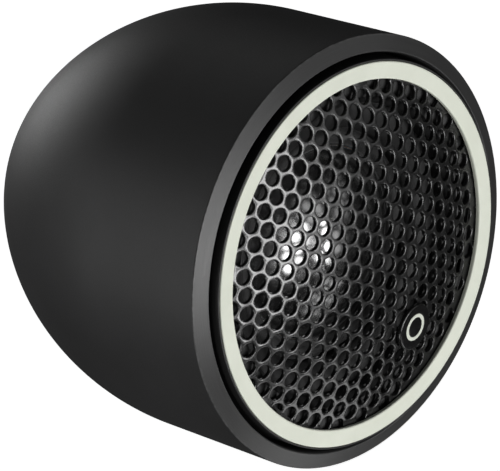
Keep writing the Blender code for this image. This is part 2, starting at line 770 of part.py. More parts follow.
def main():
    clear_scene()
    materials = {
        "pod": make_material("pod_plastic", (0.035, 0.035, 0.036), 0.55),
        "bezel": make_material("bezel_plastic", (0.018, 0.018, 0.018), 0.45),
        "cream": make_material("cream_plastic", (0.76, 0.79, 0.67), 0.35),
        "grille": make_material("grille_paint", (0.016, 0.016, 0.017), 0.25, 0.3),
        "badge": make_material("badge_plastic", (0.012, 0.012, 0.012), 0.3),
        "plate": make_material("faceplate_plastic", (0.02, 0.02, 0.02), 0.6),
        "dome": make_material("dome_film", (0.12, 0.12, 0.13), 0.2),
        "surround": make_material("surround_fabric", (0.03, 0.03, 0.03), 0.7),
        "foil": make_material("aluminium_foil", (0.8, 0.8, 0.8), 0.3, 1.0),
        "copper": make_material("enamelled_copper", (0.6, 0.25, 0.1), 0.35, 1.0),
        "steel": make_material("zinc_plated_steel", (0.5, 0.5, 0.52), 0.4, 1.0),
        "nickel": make_material("nickel_plating", (0.62, 0.6, 0.56), 0.25, 1.0),
        "zinc": make_material("screw_steel", (0.55, 0.55, 0.56), 0.35, 1.0),
        "brass": make_material("brass", (0.75, 0.55, 0.25), 0.35, 1.0),
        "fibre": make_material("fibre_board", (0.2, 0.12, 0.06), 0.8),
        "felt": make_material("felt", (0.25, 0.25, 0.24), 0.95),
        "foam": make_material("black_foam", (0.02, 0.02, 0.02), 0.95),
        "rubber": make_material("rubber", (0.015, 0.015, 0.015), 0.8),
    }
    pod = make_empty("pod", location=(0, -POD_LENGTH * MM, 0))
    module = make_empty("tweeter_module", pod)
    diaphragm = make_empty("diaphragm", module)

    make_pod(materials, pod)
    make_rear_fixing(materials, pod)
    make_module_seal(materials, pod)
    make_bezel(materials, module)
    make_trim_ring(materials, module)
    make_grille(materials, module)
    make_badge(materials, module)
    make_faceplate(materials, module)
    make_diaphragm(materials, module, diaphragm)
    make_motor(materials, module)
    make_rear_cup(materials, module)
    make_module_screws(materials, module)
    make_terminals(materials, module)
    make_lead_wires(materials, module)


main()
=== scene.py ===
"""A car tweeter in its round pod: fine surfaces, finishes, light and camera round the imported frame.

Sizes are in millimetres, and MM turns them into metres. A depth is a distance behind the front
plane of the trim ring. An outline is a closed list of corners, (radius, depth) or (radius, depth,
fillet radius), which is turned about the object's axis, Y.
"""

import functools
import math

import bmesh
import bpy
from mathutils import Matrix, Vector, noise
from mathutils.geometry import delaunay_2d_cdt


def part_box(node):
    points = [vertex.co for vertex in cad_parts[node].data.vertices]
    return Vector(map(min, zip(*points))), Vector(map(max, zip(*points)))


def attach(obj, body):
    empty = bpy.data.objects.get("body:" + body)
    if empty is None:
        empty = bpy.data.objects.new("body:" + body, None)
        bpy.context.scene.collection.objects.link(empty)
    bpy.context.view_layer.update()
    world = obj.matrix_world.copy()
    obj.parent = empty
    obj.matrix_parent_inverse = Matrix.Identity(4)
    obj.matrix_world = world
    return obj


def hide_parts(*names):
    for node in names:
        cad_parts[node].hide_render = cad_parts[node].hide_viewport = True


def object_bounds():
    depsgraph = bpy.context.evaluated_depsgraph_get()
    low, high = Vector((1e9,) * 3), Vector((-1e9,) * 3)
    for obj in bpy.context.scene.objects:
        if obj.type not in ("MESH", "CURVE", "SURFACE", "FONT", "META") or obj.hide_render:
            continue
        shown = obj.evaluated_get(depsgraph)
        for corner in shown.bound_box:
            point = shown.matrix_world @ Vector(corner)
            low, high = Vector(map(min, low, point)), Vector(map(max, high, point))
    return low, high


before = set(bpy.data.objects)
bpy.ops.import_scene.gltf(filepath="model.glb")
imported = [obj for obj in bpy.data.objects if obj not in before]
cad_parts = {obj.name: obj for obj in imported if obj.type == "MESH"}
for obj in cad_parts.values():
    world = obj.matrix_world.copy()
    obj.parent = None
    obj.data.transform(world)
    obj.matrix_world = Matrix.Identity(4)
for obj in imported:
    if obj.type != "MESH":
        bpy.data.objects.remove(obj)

MM = 0.001
CAD_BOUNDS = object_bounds()
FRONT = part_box("trim_ring")[0].y  # the plane that depths are measured from

FINE = 288  # sides of the large round pieces that show
MEDIUM = 144  # sides of the round pieces inside
SMALL = 48
SHARP_ANGLE = math.radians(32)
SEAT_GAP = 0.05  # between pieces that rest on each other
ON_AXIS = 1e-6  # a radius below this is a point on the axis

# Pod
RIM_RADIUS = 22.63
RIM_DEPTH = 1.55
MOUTH_RADIUS = 20.9
MOUTH_DEPTH = 0.8
BARREL_TAPER = math.radians(1.83)
SHOULDER_DEPTH = 16.6
BACK_ROUNDING = 31.1
POD_WALL = 2.0
BORE_RADIUS = 20.75
LEDGE_RADIUS = 19.2
LEDGE_DEPTH = 10.7
LEDGE_THICKNESS = 1.3
FIXING_SPACING = 10.8
FIXING_RISE = 3.0
FIXING_HOLE_RADIUS = 1.6
CABLE_EXIT_DROP = 5.2
CABLE_HOLE_RADIUS = 3.7
CABLE_BORE_RADIUS = 3.05
LOCK_ANGLES = (90, 210, 330)
LOCK_DEPTH = 7.9
LOCK_PIN_RADIUS = 0.7
LOCK_PIN_REACH = 19.3
LOCK_CLEARANCE = 0.3
LOCK_TURN = 15

# Bezel, trim ring, grille and badge
SKIRT_INNER_RADIUS = 18.9
RING_INNER_RADIUS = 18.25
GRILLE_EDGE_RADIUS = 17.9
GRILLE_RADIUS_FLAT = 18.7  # the sheet is flat from here outwards
GRILLE_RISE = 2.4
GRILLE_THICKNESS = 0.5
HOLE_PITCH = 2.0
HOLE_RADIUS = 0.775
HOLE_LIP = 0.13  # rounding of a hole's front edge
HOLE_ROW_ANGLE = math.radians(36)
HOLE_AT = Vector((-13.2, 3.95))  # centre of one hole, as (X, Z)
LAST_HOLE_RADIUS = 18.4
BADGE_AT = Vector((7.2, -9.2))
BADGE_RADIUS = 2.5
BADGE_THICKNESS = 0.45
BADGE_GROOVE = (1.05, 1.5)

# Tweeter module
PLATE_FRONT_DEPTH = 3.65
PLATE_REAR_DEPTH = 6.0
THROAT_RADIUS = 12.2
THROAT_DEPTH = 4.9
FLARE_RADIUS = 15.3
SPIGOT_WALL = 1.2
LEAD_SLOT = (12.4, 15.2, 6.3, 10)  # in the spigot: inner and outer radius, front and rear depth
SCREW_CIRCLE = 17.35
SCREW_ANGLES = (30, 150, 270)
CUP_INNER_RADIUS = 14.6
CUP_OUTER_RADIUS = 15.7
CUP_FLOOR_DEPTH = 16.2
CUP_FLANGE_REAR = 7.25
DOME_HEIGHT = 4.0
DOME_THICKNESS = 0.3
FORMER_INNER_RADIUS = 9.95
FORMER_OUTER_RADIUS = 10.1
SURROUND_RADII = (10.2, 10.5, 12.0, 12.9)  # landing, roll, roll, outer edge
SURROUND_THICKNESS = 0.24
SURROUND_ROLL = 0.75
YOKE_INNER_RADIUS = 11.1
YOKE_FLOOR_DEPTH = 13.05
TERMINAL_X = 13.3
TERMINAL_THICKNESS = 0.5
WIRE_RADIUS = 0.2
COIL_TURNS = 14  # that show on the winding's outside
SCREW_CORE_RADIUS = 0.55
SCREW_NECK_RADIUS = 0.62
SCREW_HEAD_RADIUS = 1.35
SCREW_HEAD_HEIGHT = 1.05
THREAD_HEIGHT = 0.2
THREAD_PITCH = 0.55
RECESS_DEPTH = 0.45
RECESS_ARM = (0.62, 0.13)  # half length and half width


# ---- Shapes ----


def at(x, depth, z):
    """A point of the frame, in metres."""
    return Vector((x * MM, FRONT + depth * MM, z * MM))


def facing(x, z, depth):
    """The same for an outline that is drawn across the axis, as (X, Z)."""
    return at(x, depth, z)


def around(centre, radius, turn, depth):
    """The point at this radius and turn about the line along Y through centre, (X, Z)."""
    return at(centre[0] + radius * math.cos(turn), depth, centre[1] + radius * math.sin(turn))


def on_circle(radius, degrees):
    """(X, Z) on a circle about the axis."""
    turn = math.radians(degrees)
    return radius * math.cos(turn), radius * math.sin(turn)


@functools.cache
def extent(node):
    """(outer radius, front depth, rear depth) of a turned CAD node."""
    low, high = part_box(node)
    return (high.x - low.x) / 2 / MM, (low.y - FRONT) / MM, (high.y - FRONT) / MM


def rounded(corners, step=math.radians(14)):
    """The outline's points, with an arc at each corner that gives a fillet radius."""
    outline = []
    for i, corner in enumerate(corners):
        here = Vector(corner[:2])
        if len(corner) == 2:
            outline.append(here)
            continue
        to_last = Vector(corners[i - 1][:2]) - here
        to_next = Vector(corners[(i + 1) % len(corners)][:2]) - here
        half = to_last.angle(to_next) / 2
        room = 0.48 * min(to_last.length, to_next.length)
        size = min(corner[2], room * math.tan(half))
        middle = here + (to_last.normalized() + to_next.normalized()).normalized() * (
            size / math.sin(half)
        )
        first = here + to_last.normalized() * (size / math.tan(half)) - middle
        turn = math.pi - 2 * half
        if first.cross(here - middle) < 0:
            turn = -turn
        steps = max(2, math.ceil(abs(turn) / step))
        for k in range(steps + 1):
            part = turn * k / steps
            arm = Vector((
                first.x * math.cos(part) - first.y * math.sin(part),
                first.x * math.sin(part) + first.y * math.cos(part),
            ))
            outline.append(middle + arm)
    return outline


def piece_from(name, bm):
    """An object from the bmesh, with its faces outwards and its round surfaces smooth."""
    bmesh.ops.recalc_face_normals(bm, faces=bm.faces[:])
    mesh = bpy.data.meshes.new(name)
    bm.to_mesh(mesh)
    bm.free()
    piece = bpy.data.objects.new(name, mesh)
    bpy.context.scene.collection.objects.link(piece)
    shade(piece)
    return piece


def shade(piece):
    """Smooth shading that keeps flat faces flat beside their fillets."""
    piece.data.shade_smooth()
    piece.data.set_sharp_from_angle(angle=SHARP_ANGLE)
    if "flat" not in piece.modifiers:
        flat = piece.modifiers.new("flat", "WEIGHTED_NORMAL")
        flat.keep_sharp = True


def turned(name, corners, segments=MEDIUM, centre=(0, 0)):
    """Turns a closed outline about the line along Y through centre, (X, Z)."""
    bm = bmesh.new()
    turns = [2 * math.pi * i / segments for i in range(segments)]
    rings = []
    for radius, depth in rounded(corners):
        if radius < ON_AXIS:
            rings.append([bm.verts.new(around(centre, 0, 0, depth))] * segments)
            continue
        rings.append([bm.verts.new(around(centre, radius, turn, depth)) for turn in turns])
    for ring, following in zip(rings, rings[1:] + rings[:1]):
        for i in range(segments):
            j = (i + 1) % segments
            face = dict.fromkeys((ring[i], ring[j], following[j], following[i]))
            if len(face) > 2:
                bm.faces.new(list(face))
    return piece_from(name, bm)


def disc(radius, front, rear, fillet):
    return [(0, front), (radius, front, fillet), (radius, rear, fillet), (0, rear)]


def ring(inner, outer, front, rear, fillet):
    return [
        (inner, front, fillet),
        (outer, front, fillet),
        (outer, rear, fillet),
        (inner, rear, fillet),
    ]


def prism(name, outline, low, high, place):
    """Extrudes a flat outline of (u, v) from low to high. place(u, v, w) gives each point."""
    bm = bmesh.new()
    ends = [[bm.verts.new(place(u, v, w)) for u, v in outline] for w in (low, high)]
    for end in ends:
        bm.faces.new(end)
    for i in range(len(outline)):
        j = (i + 1) % len(outline)
        bm.faces.new((ends[0][i], ends[0][j], ends[1][j], ends[1][i]))
    return piece_from(name, bm)


def carve(piece, *tools, operation="DIFFERENCE"):
    """Cuts the tools from the piece, or joins them on, and removes them."""
    piece.modifiers.clear()
    for tool in tools:
        modifier = piece.modifiers.new(tool.name, "BOOLEAN")
        modifier.operation = operation
        modifier.solver = "EXACT"
        modifier.object = tool
    depsgraph = bpy.context.evaluated_depsgraph_get()
    carved = bpy.data.meshes.new_from_object(piece.evaluated_get(depsgraph))
    piece.modifiers.clear()
    piece.data = carved
    for tool in tools:
        bpy.data.objects.remove(tool)
    shade(piece)


def hole_tool(x, z, front, rear, radius, chamfer=0.0):
    """A cutter for a round hole along Y, flared by the chamfer where it leaves the material."""
    over = 1.0  # how far the cutter stands out of the material
    wide = radius + chamfer + over
    corners = [(0, front - over), (radius, front - over), (radius, rear + over), (0, rear + over)]
    if chamfer:
        corners[1:3] = [
            (wide, front - over),
            (radius, front + chamfer),
            (radius, rear - chamfer),
            (wide, rear + over),
        ]
    return turned("hole", corners, SMALL, (x, z))


def dress(piece, body, material, node=None):
    """Gives a finished piece its material and body, and hides the CAD node that it stands for."""
    if not piece.data.materials:
        piece.data.materials.append(material)
    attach(piece, body)
    if node:
        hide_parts(node)
    return piece


# ---- Finishes ----


class Finish:
    """A Principled material, with helpers for what varies over its surface. Lengths are in mm."""

    def __init__(self, name, colour, roughness, **sockets):
        self.material = bpy.data.materials.new(name)
        self.material.use_nodes = True
        self.nodes = self.material.node_tree.nodes
        self.shader = self.nodes["Principled BSDF"]
        self.shader.inputs["Base Color"].default_value = (*colour, 1)
        self.shader.inputs["Roughness"].default_value = roughness
        for socket, value in sockets.items():
            self.shader.inputs[socket.replace("_", " ")].default_value = value
        self.place = self.nodes.new("ShaderNodeTexCoord").outputs["Object"]

    def link(self, output, target):
        self.material.node_tree.links.new(output, target)

    def maths(self, operation, a, b=0.0):
        node = self.nodes.new("ShaderNodeMath")
        node.operation = operation
        for socket, value in zip(node.inputs, (a, b)):
            if isinstance(value, (int, float)):
                socket.default_value = value
            else:
                self.link(value, socket)
        return node.outputs[0]

    def noise(self, size, detail=2.0, place=None, contrast=0.0):
        """0 to 1, in patches about size across. Contrast, up to 0.4, cuts the range's ends off."""
        node = self.nodes.new("ShaderNodeTexNoise")
        node.inputs["Scale"].default_value = 1 / (size * MM)
        node.inputs["Detail"].default_value = detail
        self.link(place or self.place, node.inputs["Vector"])
        return self.spread(node.outputs["Fac"], contrast, 1 - contrast)

    def cells(self, size):
        """0 at the middle of each cell, rising to its walls."""
        node = self.nodes.new("ShaderNodeTexVoronoi")
        node.inputs["Scale"].default_value = 1 / (size * MM)
        self.link(self.place, node.inputs["Vector"])
        return node.outputs["Distance"]

    def spread(self, value, low, high, to_low=0.0, to_high=1.0):
        """The value's range low to high, stretched to another range and clamped."""
        node = self.nodes.new("ShaderNodeMapRange")
        self.link(value, node.inputs["Value"])
        bounds = (("From Min", low), ("From Max", high), ("To Min", to_low), ("To Max", to_high))
        for socket, number in bounds:
            node.inputs[socket].default_value = number
        return node.outputs["Result"]

    def distance_from_axis(self):
        split = self.nodes.new("ShaderNodeSeparateXYZ")
        self.link(self.place, split.inputs[0])
        squares = [self.maths("MULTIPLY", split.outputs[i], split.outputs[i]) for i in (0, 2)]
        return self.maths("SQRT", self.maths("ADD", *squares))

    def round_axis(self):
        """Coordinates in which a pattern is drawn out round the axis, as on a turned face."""
        drawn = 60
        split = self.nodes.new("ShaderNodeSeparateXYZ")
        self.link(self.place, split.inputs[0])
        join = self.nodes.new("ShaderNodeCombineXYZ")
        along = self.maths("ADD", self.distance_from_axis(), split.outputs[1])
        self.link(along, join.inputs[0])
        self.link(self.maths("DIVIDE", split.outputs[0], drawn), join.inputs[1])
        self.link(self.maths("DIVIDE", split.outputs[2], drawn), join.inputs[2])
        return join.outputs[0]

    def stretched(self, x, y, z):
        """Coordinates in which a pattern is longer along an axis, by the number given for it."""
        node = self.nodes.new("ShaderNodeMapping")
        node.inputs["Scale"].default_value = (1 / x, 1 / y, 1 / z)
        self.link(self.place, node.inputs["Vector"])
        return node.outputs[0]

    def colours(self, factor, low, high):
        node = self.nodes.new("ShaderNodeValToRGB")
        node.color_ramp.elements[0].color = (*low, 1)
        node.color_ramp.elements[1].color = (*high, 1)
        self.link(factor, node.inputs["Fac"])
        self.link(node.outputs["Color"], self.shader.inputs["Base Color"])

    def roughness(self, factor, low, high):
        self.link(self.spread(factor, 0, 1, low, high), self.shader.inputs["Roughness"])

    def relief(self, height, depth):
        """Adds the height as a bump of this depth, on top of any bump before it."""
        node = self.nodes.new("ShaderNodeBump")
        node.inputs["Distance"].default_value = depth * MM
        self.link(height, node.inputs["Height"])
        normal = self.shader.inputs["Normal"]
        if normal.links:
            self.link(normal.links[0].from_socket, node.inputs["Normal"])
        self.link(node.outputs["Normal"], normal)


def shade_of(grey, tint=(1.0, 1.0, 1.0)):
    """A colour this bright, neutral or with a tint."""
    return tuple(grey * t for t in tint)


def pod_plastic():
    """Matte black moulding with a fine eroded texture and faint flow marks."""
    finish = Finish("pod_plastic", shade_of(0.034), 0.5)
    grain = finish.noise(0.16, detail=3.0, contrast=0.25)
    patches = finish.noise(7.0, contrast=0.3)
    finish.colours(patches, shade_of(0.031), shade_of(0.037, (1.0, 1.0, 1.02)))
    finish.roughness(grain, 0.46, 0.58)
    finish.relief(grain, 0.006)
    return finish.material


def pod_rim_plastic():
    """The pod's sloping rim: smoother, with streaks round it and a worn outer edge."""
    finish = Finish("pod_rim_plastic", shade_of(0.03), 0.35)
    streaks = finish.noise(0.12, detail=4.0, place=finish.round_axis(), contrast=0.2)
    nicks = finish.noise(0.7, detail=3.0, contrast=0.38)
    edge = finish.spread(finish.distance_from_axis(), 22.35 * MM, 22.6 * MM)
    worn = finish.maths("MULTIPLY", nicks, edge)
    lighter = finish.maths("MAXIMUM", worn, finish.maths("MULTIPLY", streaks, 0.3))
    finish.colours(lighter, shade_of(0.026), shade_of(0.075))
    finish.roughness(streaks, 0.3, 0.42)
    finish.relief(streaks, 0.004)
    return finish.material


def bezel_plastic():
    finish = Finish("bezel_plastic", shade_of(0.014), 0.42)
    finish.roughness(finish.noise(0.2, detail=3.0), 0.36, 0.5)
    finish.relief(finish.noise(0.25), 0.004)
    return finish.material


def cream_plastic():
    """Pale cream, with a trace of flow marks and a fine satin texture."""
    finish = Finish("cream_plastic", (0.80, 0.83, 0.72), 0.38)
    patches = finish.noise(3.0, detail=3.0, contrast=0.3)
    finish.colours(patches, (0.77, 0.80, 0.69), (0.82, 0.85, 0.74))
    finish.roughness(finish.noise(0.3), 0.32, 0.45)
    finish.relief(finish.noise(0.12), 0.003)
    return finish.material


def grille_paint():
    """Gloss black coat on steel, with the orange peel that such a coat has."""
    finish = Finish("grille_paint", shade_of(0.012), 0.2, Coat_Weight=0.6, Coat_Roughness=0.12)
    finish.roughness(finish.noise(1.6, detail=3.0, contrast=0.25), 0.2, 0.32)
    finish.relief(finish.noise(0.35), 0.012)
    return finish.material


def badge_plastic():
    finish = Finish("badge_plastic", shade_of(0.008), 0.18, Coat_Weight=0.3)
    finish.roughness(finish.noise(0.8, detail=3.0, contrast=0.3), 0.14, 0.26)
    finish.relief(finish.noise(0.3), 0.003)
    return finish.material


def badge_inlay():
    finish = Finish("badge_inlay", (0.76, 0.79, 0.70), 0.3)
    finish.colours(finish.noise(0.5, contrast=0.3), (0.72, 0.75, 0.66), (0.78, 0.81, 0.71))
    finish.relief(finish.noise(0.15), 0.003)
    return finish.material


def faceplate_plastic():
    finish = Finish("faceplate_plastic", shade_of(0.012), 0.55)
    grain = finish.noise(0.2, detail=3.0, contrast=0.2)
    finish.roughness(grain, 0.48, 0.62)
    finish.relief(grain, 0.008)
    return finish.material


def dome_film():
    """A thin formed metal dome, dark and glossy, faintly uneven as formed films are."""
    finish = Finish("dome_film", shade_of(0.32), 0.2, Metallic=1.0)
    finish.roughness(finish.noise(2.5), 0.17, 0.24)
    finish.relief(finish.noise(1.8), 0.01)
    return finish.material


def surround_fabric():
    """Doped cloth: a fine weave that the doping half fills."""
    finish = Finish("surround_fabric", shade_of(0.02), 0.6, Sheen_Weight=0.15)
    thread = 0.22
    waves = []
    for direction in ("X", "Z"):
        wave = finish.nodes.new("ShaderNodeTexWave")
        wave.bands_direction = direction
        wave.inputs["Scale"].default_value = 0.3 / (thread * MM)
        wave.inputs["Distortion"].default_value = 0.6
        finish.link(finish.place, wave.inputs["Vector"])
        waves.append(wave.outputs["Fac"])
    finish.relief(finish.maths("MULTIPLY", *waves), 0.02)
    finish.roughness(finish.noise(1.0, contrast=0.2), 0.5, 0.7)
    return finish.material


def turned_metal(name, colour, roughness, mark):
    """Metal with turning marks round the axis and slightly uneven plating."""
    finish = Finish(name, colour, roughness, Metallic=1.0)
    marks = finish.noise(mark, detail=3.0, place=finish.round_axis(), contrast=0.2)
    clouds = finish.noise(4.0, detail=3.0, contrast=0.25)
    finish.colours(clouds, shade_of(0.9, colour), colour)
    finish.roughness(marks, roughness * 0.8, roughness * 1.3)
    finish.relief(marks, 0.003)
    return finish.material


def plated_steel():
    return turned_metal("plated_steel", (0.56, 0.57, 0.60), 0.34, 0.09)


def nickel_plate():
    return turned_metal("nickel_plate", (0.66, 0.62, 0.56), 0.2, 0.3)


def aluminium_foil():
    return turned_metal("aluminium_foil", (0.86, 0.86, 0.87), 0.24, 0.15)


def screw_steel():
    finish = Finish("screw_steel", (0.62, 0.62, 0.64), 0.3, Metallic=1.0)
    finish.roughness(finish.noise(0.3, detail=3.0), 0.22, 0.4)
    finish.colours(finish.noise(0.8, contrast=0.25), (0.55, 0.55, 0.57), (0.66, 0.66, 0.68))
    finish.relief(finish.noise(0.1), 0.002)
    return finish.material


def copper_wire():
    """Enamelled copper: a clear amber coat over the metal."""
    finish = Finish("copper_wire", (0.72, 0.33, 0.13), 0.28, Metallic=1.0, Coat_Weight=0.8)
    finish.colours(finish.noise(0.6, contrast=0.2), (0.62, 0.26, 0.09), (0.78, 0.38, 0.16))
    finish.roughness(finish.noise(0.3), 0.22, 0.36)
    return finish.material


def brass_tab():
    finish = Finish("brass_tab", (0.78, 0.58, 0.27), 0.3, Metallic=1.0)
    rolled = finish.noise(0.12, detail=3.0, place=finish.stretched(1, 14, 1), contrast=0.2)
    finish.colours(finish.noise(1.5, contrast=0.25), (0.68, 0.48, 0.2), (0.8, 0.6, 0.29))
    finish.roughness(rolled, 0.22, 0.4)
    finish.relief(rolled, 0.003)
    return finish.material


def fibre_board():
    """Vulcanised fibre: reddish brown, with short fibres along the board."""
    finish = Finish("fibre_board", (0.2, 0.1, 0.05), 0.75)
    fibres = finish.noise(0.18, detail=4.0, place=finish.stretched(5, 1, 1), contrast=0.2)
    finish.colours(fibres, (0.14, 0.065, 0.03), (0.27, 0.14, 0.07))
    finish.roughness(fibres, 0.65, 0.85)
    finish.relief(fibres, 0.02)
    return finish.material


def felt():
    finish = Finish("felt", shade_of(0.2), 0.95, Sheen_Weight=0.4)
    fuzz = finish.noise(0.25, detail=6.0, contrast=0.2)
    finish.colours(fuzz, (0.13, 0.13, 0.125), (0.3, 0.3, 0.285))
    finish.relief(fuzz, 0.12)
    return finish.material


def foam():
    """Closed-cell foam: black, with the open half cells of its cut faces, each darkened in its hollow
    by painted shade.
    """
    finish = Finish("foam", shade_of(0.014), 0.9, Sheen_Weight=0.1)
    cells = finish.cells(0.32)
    # Painted shade: the colour is darkest at each cell's middle, where its hollow lies, and lighter
    # towards its walls.
    finish.colours(cells, shade_of(0.008), shade_of(0.026))
    finish.relief(cells, 0.12)
    finish.relief(finish.noise(0.12, detail=4.0), 0.03)
    return finish.material


def rubber():
    finish = Finish("rubber", shade_of(0.012), 0.62)
    bloom = finish.noise(1.2, detail=4.0, contrast=0.25)
    finish.colours(bloom, shade_of(0.009), shade_of(0.02))
    finish.roughness(bloom, 0.55, 0.75)
    finish.relief(finish.noise(0.15, detail=3.0), 0.008)
    return finish.material


def floor_paper():
    """Seamless studio paper. It glows a little, so that it stays pale under the dim lamps."""
    finish = Finish("floor_paper", (0.9, 0.9, 0.9), 0.8)
    finish.colours(finish.noise(60.0), (0.89, 0.89, 0.89), (0.92, 0.92, 0.92))
    finish.relief(finish.noise(0.5, detail=3.0), 0.01)
    finish.shader.inputs["Emission Color"].default_value = (1, 1, 1, 1)
    finish.shader.inputs["Emission Strength"].default_value = 0.95
    return finish.material


# ---- Pod ----


def barrel_radius(depth):
    return RIM_RADIUS - math.tan(BARREL_TAPER) * (depth - RIM_DEPTH)


def back_arc(inset, first_depth, last_depth, steps):
    """The pod's rounded back, moved inwards by inset, tangent to the barrel at the shoulder."""
    centre_radius = barrel_radius(SHOULDER_DEPTH) - BACK_ROUNDING * math.cos(BARREL_TAPER)
    centre_depth = SHOULDER_DEPTH - BACK_ROUNDING * math.sin(BARREL_TAPER)
    size = BACK_ROUNDING - inset
    first = math.asin((first_depth - centre_depth) / size)
    last = math.asin((last_depth - centre_depth) / size)
    turns = [first + (last - first) * i / steps for i in range(steps + 1)]
    return [(centre_radius + size * math.cos(t), centre_depth + size * math.sin(t)) for t in turns]


def make_pod():
    back = extent("pod_shell")[2]
    floor = back - POD_WALL
    chamber = LEDGE_DEPTH + LEDGE_THICKNESS
    steps = 8
    depths = [RIM_DEPTH + (SHOULDER_DEPTH - RIM_DEPTH) * i / steps for i in range(1, steps)]
    barrel = [(barrel_radius(depth), depth) for depth in depths]
    outer = back_arc(0, SHOULDER_DEPTH, back, 48)
    inner = back_arc(POD_WALL, chamber + 3, floor, 24)
    shell = turned(
        "pod_shell_fine",
        [(BORE_RADIUS, MOUTH_DEPTH + 0.4, 0.1), (MOUTH_RADIUS, MOUTH_DEPTH, 0.12)]
        + [(RIM_RADIUS, RIM_DEPTH, 0.14)]
        + barrel
        + outer[:-1]
        + [(*outer[-1], 0.5), (0, back), (0, floor)]
        + [(*inner[-1], 0.8)]
        + inner[-2::-1]
        + [(inner[0][0], chamber, 0.6)]
        + [(LEDGE_RADIUS, chamber, 0.2), (LEDGE_RADIUS, LEDGE_DEPTH, 0.2)]
        + [(BORE_RADIUS, LEDGE_DEPTH, 0.15)],
        FINE,
    )
    cable_hole = hole_tool(0, -CABLE_EXIT_DROP, floor, back, CABLE_HOLE_RADIUS)
    carve(shell, *fixing_holes(floor, back, FIXING_HOLE_RADIUS, 0.2), cable_hole)
    carve(shell, *[lock_pin(angle) for angle in LOCK_ANGLES], operation="UNION")
    for material in (pod_plastic(), pod_rim_plastic()):
        shell.data.materials.append(material)
    rim_end = RIM_DEPTH + 0.03
    for face in shell.data.polygons:
        x, y, z = face.center
        if y < FRONT + rim_end * MM and math.hypot(x, z) > BORE_RADIUS * MM:
            face.material_index = 1
    dress(shell, "pod", None, "pod_shell")


def fixing_holes(front, rear, radius, chamfer=0.0):
    """Cutters for the two screw holes in the back."""
    places = (-FIXING_SPACING / 2, FIXING_SPACING / 2)
    return [hole_tool(x, FIXING_RISE, front, rear, radius, chamfer) for x in places]


def lock_pin(angle):
    """A round pin that points inwards from the bore."""
    root = 0.6  # how far the pin starts inside the pod's wall
    length = BORE_RADIUS + root - LOCK_PIN_REACH
    x, z = on_circle(LOCK_PIN_REACH + length / 2, angle)
    outward = Vector((x, 0, z)).to_track_quat("Z", "Y").to_matrix().to_4x4()
    bm = bmesh.new()
    bmesh.ops.create_cone(
        bm,
        cap_ends=True,
        segments=SMALL,
        radius1=LOCK_PIN_RADIUS * MM,
        radius2=LOCK_PIN_RADIUS * MM,
        depth=length * MM,
        matrix=Matrix.Translation(at(x, LOCK_DEPTH, z)) @ outward,
    )
    return piece_from("lock_pin", bm)


def gasket_outline(radius, notch):
    """A disc with a notch, rounded at its top, from the cable hole down to the disc's edge."""
    drop = math.sqrt(radius**2 - notch**2)
    edge = math.degrees(math.atan2(drop, notch))
    outer = [on_circle(radius, -edge + (180 + 2 * edge) * i / MEDIUM) for i in range(MEDIUM + 1)]
    arch = [on_circle(notch, 180 - 180 * i / SMALL) for i in range(SMALL + 1)]
    return outer + [(x, z - CABLE_EXIT_DROP) for x, z in arch]


def make_rear_fixing():
    """Foam gasket, open below the cable hole, and the moulded grommet in that hole."""
    radius, front, rear = extent("rear_gasket")
    flange, flange_front, flange_rear = extent("wire_grommet")
    outline = gasket_outline(radius, flange + 0.15)
    gasket = prism("rear_gasket_fine", outline, front, rear, facing)
    carve(gasket, *fixing_holes(front, rear, FIXING_HOLE_RADIUS + 0.2))
    dress(gasket, "pod", foam(), "rear_gasket")

    back = extent("pod_shell")[2]
    floor = back - POD_WALL
    neck = CABLE_HOLE_RADIUS - 3 * SEAT_GAP
    outline = [
        (CABLE_BORE_RADIUS, flange_front, 0.35),
        (flange, flange_front, 0.4),
        (flange, floor - SEAT_GAP, 0.15),
        (neck, floor - SEAT_GAP, 0.1),
        (neck, back + SEAT_GAP, 0.1),
        (flange, back + SEAT_GAP, 0.1),
        (flange, flange_rear, 0.3),
        (CABLE_BORE_RADIUS, flange_rear, 0.3),
    ]
    grommet = turned("wire_grommet_fine", outline, SMALL * 2, (0, -CABLE_EXIT_DROP))
    dress(grommet, "pod", rubber(), "wire_grommet")


def make_module_seal():
    outer, front, rear = extent("module_seal")
    seal = turned("module_seal_fine", ring(LEDGE_RADIUS + 0.15, outer, front, rear, 0.3), FINE)
    dress(seal, "pod", bpy.data.materials["rubber"], "module_seal")


# ---- Module front ----


def make_bezel():
    outer, front, end = extent("front_bezel")
    ring_radius, _, ring_rear = extent("trim_ring")
    grille_radius, _, grille_rear = extent("grille")
    ring_seat, grille_seat = ring_rear + SEAT_GAP, grille_rear + SEAT_GAP
    flange_rear = PLATE_FRONT_DEPTH - SEAT_GAP
    opening = FLARE_RADIUS + 0.1
    outline = [
        (ring_radius + SEAT_GAP, front, 0.04),
        (outer, front, 0.12),
        (outer, end, 0.25),
        (SKIRT_INNER_RADIUS, end, 0.25),
        (SKIRT_INNER_RADIUS, flange_rear, 0.2),
        (opening, flange_rear, 0.1),
        (opening, grille_seat + 0.8, 0.2),
        (opening + 0.8, grille_seat, 0.2),
        (grille_radius + SEAT_GAP, grille_seat),
        (grille_radius + SEAT_GAP, ring_seat),
        (ring_radius + SEAT_GAP, ring_seat),
    ]
    bezel = turned("front_bezel_fine", outline, FINE)
    tools = [j_slot(angle, end) for angle in LOCK_ANGLES]
    for angle in SCREW_ANGLES:
        place = on_circle(SCREW_CIRCLE, angle)
        tools.append(hole_tool(*place, flange_rear - 0.8, flange_rear, 0.85))
    carve(bezel, *tools)
    dress(bezel, "tweeter_module", bezel_plastic(), "front_bezel")


